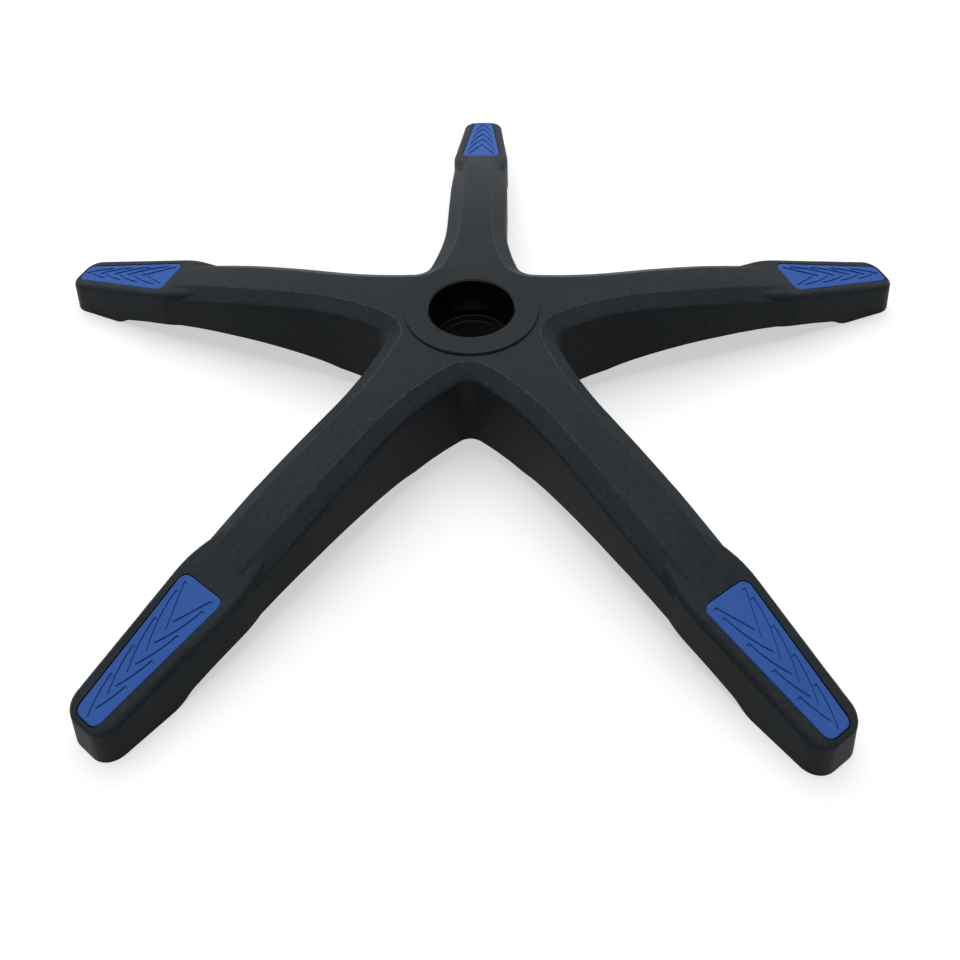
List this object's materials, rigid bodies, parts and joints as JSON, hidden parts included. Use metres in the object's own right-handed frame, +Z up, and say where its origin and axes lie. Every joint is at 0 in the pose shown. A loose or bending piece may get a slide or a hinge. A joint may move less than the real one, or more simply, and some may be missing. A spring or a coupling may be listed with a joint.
{
  "type": "office chair star base",
  "caption": "Star-shaped chair base with sloping arms, a tapered gas lift socket in the hub, caster stem sockets under the tips and chevron tread pads on the feet.",
  "frame": {"origin": "on the hub axis, at the shoulder inside the gas lift socket", "axes": "+Z up along the hub axis, +Y along one arm, which points to the back in the picture, +X to the right"},
  "size_m": [0.5708, 0.544, 0.066],
  "materials": {
    "star": "satin black moulded nylon with a fine grain",
    "pad": "satin blue moulded plastic"
  },
  "bodies": {
    "root": {"star_base": "star", "foot_pad_1": "pad", "foot_pad_2": "pad", "foot_pad_3": "pad", "foot_pad_4": "pad", "foot_pad_5": "pad"}
  },
  "joints": []
}
